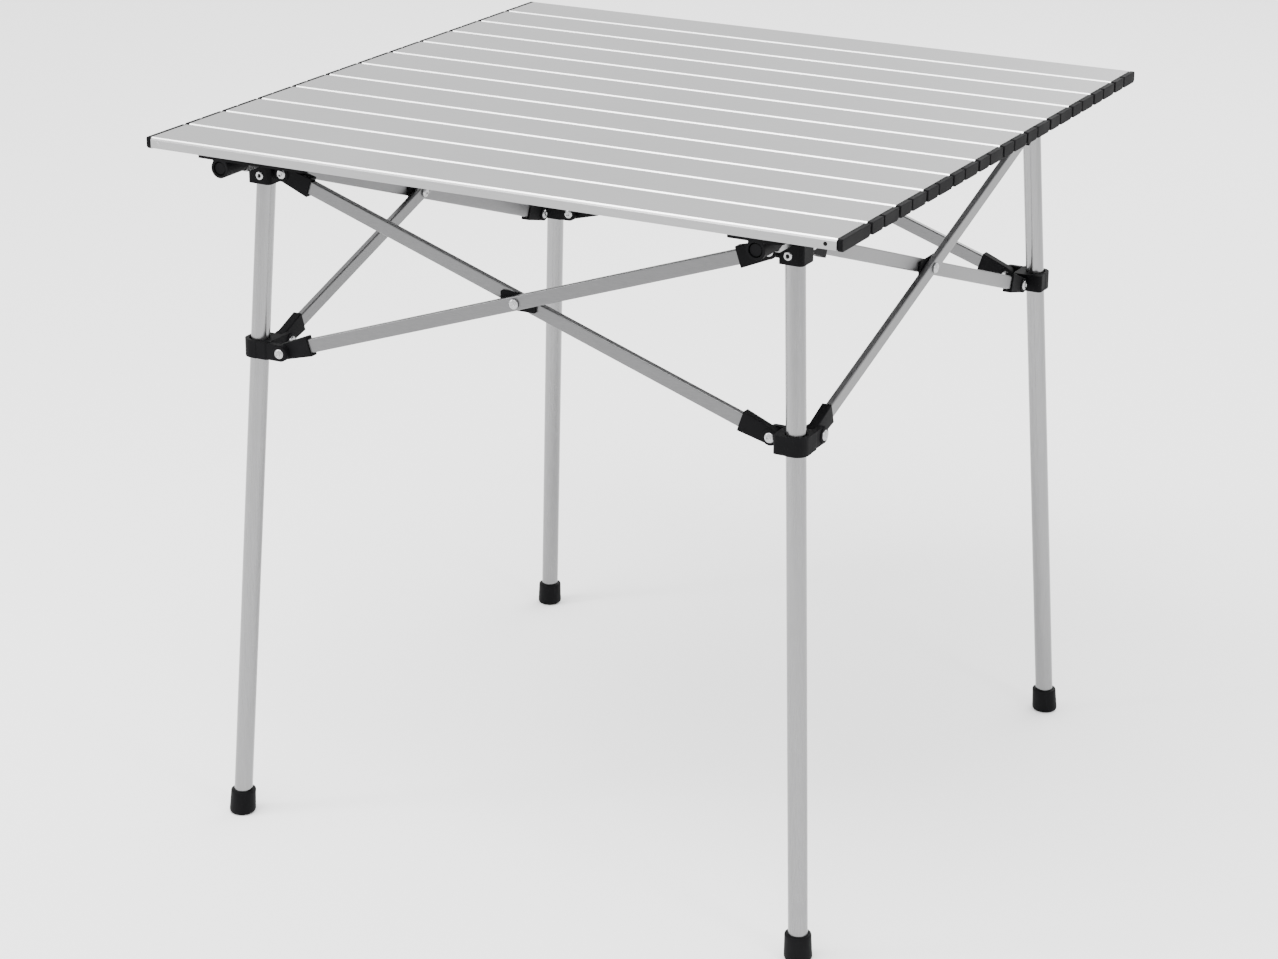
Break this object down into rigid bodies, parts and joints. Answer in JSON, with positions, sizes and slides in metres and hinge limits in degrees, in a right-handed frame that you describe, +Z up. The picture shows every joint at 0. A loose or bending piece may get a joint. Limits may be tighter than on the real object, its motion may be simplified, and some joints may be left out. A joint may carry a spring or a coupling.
{
  "type": "folding picnic table",
  "caption": "Square camping table with a roll-up top of metal slats on a folding frame of splayed legs joined by crossed scissor bars.",
  "frame": {"origin": "on the floor, under the middle of the top", "axes": "+X runs along the slats, -Y is the front, +Z is up"},
  "size_m": [0.7, 0.6994, 0.695],
  "materials": {
    "slat_metal": "brushed, satin",
    "tube_metal": "satin anodised",
    "bar_metal": "satin anodised",
    "black_plastic": "moulded, slight sheen",
    "foot_plastic": "moulded, slight sheen"
  },
  "bodies": {
    "hub_front_left": {"hub_front_left": "black_plastic"},
    "hub_front_right": {"hub_front_right": "black_plastic"},
    "hub_back_right": {"hub_back_right": "black_plastic"},
    "hub_back_left": {"hub_back_left": "black_plastic"},
    "slider_front_left": {"slider_front_left": "black_plastic"},
    "leg_front_left": {"leg_front_left": "tube_metal", "foot_front_left": "foot_plastic"},
    "slider_front_right": {"slider_front_right": "black_plastic"},
    "leg_front_right": {"leg_front_right": "tube_metal", "foot_front_right": "foot_plastic"},
    "slider_back_right": {"slider_back_right": "black_plastic"},
    "leg_back_right": {"leg_back_right": "tube_metal", "foot_back_right": "foot_plastic"},
    "slider_back_left": {"slider_back_left": "black_plastic"},
    "leg_back_left": {"leg_back_left": "tube_metal", "foot_back_left": "foot_plastic"},
    "bar_front_falling": {"bar_front_falling": "bar_metal", "bar_front_falling_ends": "black_plastic"},
    "bar_front_rising": {"bar_front_rising": "bar_metal", "bar_front_rising_ends": "black_plastic"},
    "bar_right_falling": {"bar_right_falling": "bar_metal", "bar_right_falling_ends": "black_plastic"},
    "bar_right_rising": {"bar_right_rising": "bar_metal", "bar_right_rising_ends": "black_plastic"},
    "bar_back_falling": {"bar_back_falling": "bar_metal", "bar_back_falling_ends": "black_plastic"},
    "bar_back_rising": {"bar_back_rising": "bar_metal", "bar_back_rising_ends": "black_plastic"},
    "bar_left_falling": {"bar_left_falling": "bar_metal", "bar_left_falling_ends": "black_plastic"},
    "bar_left_rising": {"bar_left_rising": "bar_metal", "bar_left_rising_ends": "black_plastic"},
    "slat_01": {"slat_01": "slat_metal", "slat_01_end_caps": "black_plastic", "corner_clips_front": "black_plastic", "top_rail_left": "tube_metal", "top_rail_right": "tube_metal"},
    "slat_02": {"slat_02": "slat_metal", "slat_02_end_caps": "black_plastic"},
    "slat_03": {"slat_03": "slat_metal", "slat_03_end_caps": "black_plastic"},
    "slat_04": {"slat_04": "slat_metal", "slat_04_end_caps": "black_plastic"},
    "slat_05": {"slat_05": "slat_metal", "slat_05_end_caps": "black_plastic"},
    "slat_06": {"slat_06": "slat_metal", "slat_06_end_caps": "black_plastic"},
    "slat_07": {"slat_07": "slat_metal", "slat_07_end_caps": "black_plastic"},
    "slat_08": {"slat_08": "slat_metal", "slat_08_end_caps": "black_plastic"},
    "slat_09": {"slat_09": "slat_metal", "slat_09_end_caps": "black_plastic"},
    "slat_10": {"slat_10": "slat_metal", "slat_10_end_caps": "black_plastic"},
    "slat_11": {"slat_11": "slat_metal", "slat_11_end_caps": "black_plastic"},
    "slat_12": {"slat_12": "slat_metal", "slat_12_end_caps": "black_plastic", "corner_clips_back": "black_plastic"}
  },
  "joints": [
    {"name": "frame_fold", "type": "hinge", "parent": "hub_front_left", "child": "bar_front_falling", "pos_m": [-0.251, -0.2744, 0.6565], "axis": [0, 1, 0], "range_deg": [0, 60]},
    {"name": "front_crossing", "type": "hinge", "parent": "bar_front_falling", "child": "bar_front_rising", "pos_m": [0.002, -0.279, 0.571], "axis": [0, 1, 0], "range_deg": [-120, 0]},
    {"name": "front_right_hub_pivot", "type": "hinge", "parent": "bar_front_rising", "child": "hub_front_right", "pos_m": [0.255, -0.2836, 0.6565], "axis": [0, 1, 0], "range_deg": [0, 60]},
    {"name": "front_right_slider_pivot", "type": "hinge", "parent": "bar_front_falling", "child": "slider_front_right", "pos_m": [0.255, -0.2744, 0.4855], "axis": [0, 1, 0], "range_deg": [-60, 0]},
    {"name": "front_left_slider_pivot", "type": "hinge", "parent": "bar_front_rising", "child": "slider_front_left", "pos_m": [-0.251, -0.2836, 0.4855], "axis": [0, 1, 0], "range_deg": [0, 60]},
    {"name": "right_front_hub_pivot", "type": "hinge", "parent": "hub_front_right", "child": "bar_right_falling", "pos_m": [0.2744, -0.251, 0.6565], "axis": [-1, 0, 0], "range_deg": [0, 60]},
    {"name": "right_crossing", "type": "hinge", "parent": "bar_right_falling", "child": "bar_right_rising", "pos_m": [0.279, 0.002, 0.571], "axis": [-1, 0, 0], "range_deg": [-120, 0]},
    {"name": "back_right_hub_pivot", "type": "hinge", "parent": "bar_right_rising", "child": "hub_back_right", "pos_m": [0.2836, 0.255, 0.6565], "axis": [-1, 0, 0], "range_deg": [0, 60]},
    {"name": "back_right_slider_pivot", "type": "hinge", "parent": "bar_right_falling", "child": "slider_back_right", "pos_m": [0.2744, 0.255, 0.4855], "axis": [-1, 0, 0], "range_deg": [-60, 0]},
    {"name": "back_right_bar_pivot", "type": "hinge", "parent": "hub_back_right", "child": "bar_back_falling", "pos_m": [0.251, 0.2744, 0.6565], "axis": [0, -1, 0], "range_deg": [0, 60]},
    {"name": "back_crossing", "type": "hinge", "parent": "bar_back_falling", "child": "bar_back_rising", "pos_m": [-0.002, 0.279, 0.571], "axis": [0, -1, 0], "range_deg": [-120, 0]},
    {"name": "left_front_hub_pivot", "type": "hinge", "parent": "hub_front_left", "child": "bar_left_rising", "pos_m": [-0.2836, -0.255, 0.6565], "axis": [1, 0, 0], "range_deg": [-60, 0]},
    {"name": "left_crossing", "type": "hinge", "parent": "bar_left_rising", "child": "bar_left_falling", "pos_m": [-0.279, -0.002, 0.571], "axis": [1, 0, 0], "range_deg": [0, 120]},
    {"name": "back_left_hub_pivot", "type": "hinge", "parent": "bar_left_falling", "child": "hub_back_left", "pos_m": [-0.2744, 0.251, 0.6565], "axis": [1, 0, 0], "range_deg": [-60, 0]},
    {"name": "back_left_slider_pivot", "type": "hinge", "parent": "bar_left_rising", "child": "slider_back_left", "pos_m": [-0.2836, 0.251, 0.4855], "axis": [1, 0, 0], "range_deg": [0, 60]},
    {"name": "leg_front_left_tilt", "type": "hinge", "parent": "hub_front_left", "child": "leg_front_left", "pos_m": [-0.2723, -0.2723, 0.655], "axis": [0.7071, -0.7071, 0], "range_deg": [0, 2.91]},
    {"name": "leg_front_right_tilt", "type": "hinge", "parent": "hub_front_right", "child": "leg_front_right", "pos_m": [0.2723, -0.2723, 0.655], "axis": [0.7071, 0.7071, 0], "range_deg": [0, 2.91]},
    {"name": "leg_back_right_tilt", "type": "hinge", "parent": "hub_back_right", "child": "leg_back_right", "pos_m": [0.2723, 0.2723, 0.655], "axis": [-0.7071, 0.7071, 0], "range_deg": [0, 2.91]},
    {"name": "leg_back_left_tilt", "type": "hinge", "parent": "hub_back_left", "child": "leg_back_left", "pos_m": [-0.2723, 0.2723, 0.655], "axis": [-0.7071, -0.7071, 0], "range_deg": [0, 2.91]},
    {"name": "tabletop_lift", "type": "slide", "parent": "hub_front_left", "child": "slat_01", "axis": [0, 0, 1], "range_m": [0, 0.15]},
    {"name": "tabletop_roll", "type": "hinge", "parent": "slat_01", "child": "slat_02", "pos_m": [0, -0.29167, 0.6926], "axis": [1, 0, 0], "range_deg": [0, 29]},
    {"name": "tabletop_roll_03", "type": "hinge", "parent": "slat_02", "child": "slat_03", "pos_m": [0, -0.23333, 0.6926], "axis": [1, 0, 0], "range_deg": [0, 29]},
    {"name": "tabletop_roll_04", "type": "hinge", "parent": "slat_03", "child": "slat_04", "pos_m": [0, -0.175, 0.6926], "axis": [1, 0, 0], "range_deg": [0, 29]},
    {"name": "tabletop_roll_05", "type": "hinge", "parent": "slat_04", "child": "slat_05", "pos_m": [0, -0.11667, 0.6926], "axis": [1, 0, 0], "range_deg": [0, 29]},
    {"name": "tabletop_roll_06", "type": "hinge", "parent": "slat_05", "child": "slat_06", "pos_m": [0, -0.05833, 0.6926], "axis": [1, 0, 0], "range_deg": [0, 29]},
    {"name": "tabletop_roll_07", "type": "hinge", "parent": "slat_06", "child": "slat_07", "pos_m": [0, 0, 0.6926], "axis": [1, 0, 0], "range_deg": [0, 29]},
    {"name": "tabletop_roll_08", "type": "hinge", "parent": "slat_07", "child": "slat_08", "pos_m": [0, 0.05833, 0.6926], "axis": [1, 0, 0], "range_deg": [0, 29]},
    {"name": "tabletop_roll_09", "type": "hinge", "parent": "slat_08", "child": "slat_09", "pos_m": [0, 0.11667, 0.6926], "axis": [1, 0, 0], "range_deg": [0, 29]},
    {"name": "tabletop_roll_10", "type": "hinge", "parent": "slat_09", "child": "slat_10", "pos_m": [0, 0.175, 0.6926], "axis": [1, 0, 0], "range_deg": [0, 29]},
    {"name": "tabletop_roll_11", "type": "hinge", "parent": "slat_10", "child": "slat_11", "pos_m": [0, 0.23333, 0.6926], "axis": [1, 0, 0], "range_deg": [0, 29]},
    {"name": "tabletop_roll_12", "type": "hinge", "parent": "slat_11", "child": "slat_12", "pos_m": [0, 0.29167, 0.6926], "axis": [1, 0, 0], "range_deg": [0, 29]}
  ],
  "couplings": [
    {"joint": "front_crossing", "follows": "frame_fold", "ratio": -2},
    {"joint": "front_right_hub_pivot", "follows": "frame_fold", "ratio": 1},
    {"joint": "front_right_slider_pivot", "follows": "frame_fold", "ratio": -1},
    {"joint": "front_left_slider_pivot", "follows": "frame_fold", "ratio": 1},
    {"joint": "right_front_hub_pivot", "follows": "frame_fold", "ratio": 1},
    {"joint": "right_crossing", "follows": "frame_fold", "ratio": -2},
    {"joint": "back_right_hub_pivot", "follows": "frame_fold", "ratio": 1},
    {"joint": "back_right_slider_pivot", "follows": "frame_fold", "ratio": -1},
    {"joint": "back_right_bar_pivot", "follows": "frame_fold", "ratio": 1},
    {"joint": "back_crossing", "follows": "frame_fold", "ratio": -2},
    {"joint": "left_front_hub_pivot", "follows": "frame_fold", "ratio": -1},
    {"joint": "left_crossing", "follows": "frame_fold", "ratio": 2},
    {"joint": "back_left_hub_pivot", "follows": "frame_fold", "ratio": -1},
    {"joint": "back_left_slider_pivot", "follows": "frame_fold", "ratio": 1},
    {"joint": "leg_front_left_tilt", "follows": "frame_fold", "ratio": 0.0485},
    {"joint": "leg_front_right_tilt", "follows": "frame_fold", "ratio": 0.0485},
    {"joint": "leg_back_right_tilt", "follows": "frame_fold", "ratio": 0.0485},
    {"joint": "leg_back_left_tilt", "follows": "frame_fold", "ratio": 0.0485},
    {"joint": "tabletop_roll_03", "follows": "tabletop_roll", "ratio": 1},
    {"joint": "tabletop_roll_04", "follows": "tabletop_roll", "ratio": 1},
    {"joint": "tabletop_roll_05", "follows": "tabletop_roll", "ratio": 1},
    {"joint": "tabletop_roll_06", "follows": "tabletop_roll", "ratio": 1},
    {"joint": "tabletop_roll_07", "follows": "tabletop_roll", "ratio": 1},
    {"joint": "tabletop_roll_08", "follows": "tabletop_roll", "ratio": 1},
    {"joint": "tabletop_roll_09", "follows": "tabletop_roll", "ratio": 1},
    {"joint": "tabletop_roll_10", "follows": "tabletop_roll", "ratio": 1},
    {"joint": "tabletop_roll_11", "follows": "tabletop_roll", "ratio": 1},
    {"joint": "tabletop_roll_12", "follows": "tabletop_roll", "ratio": 1}
  ]
}
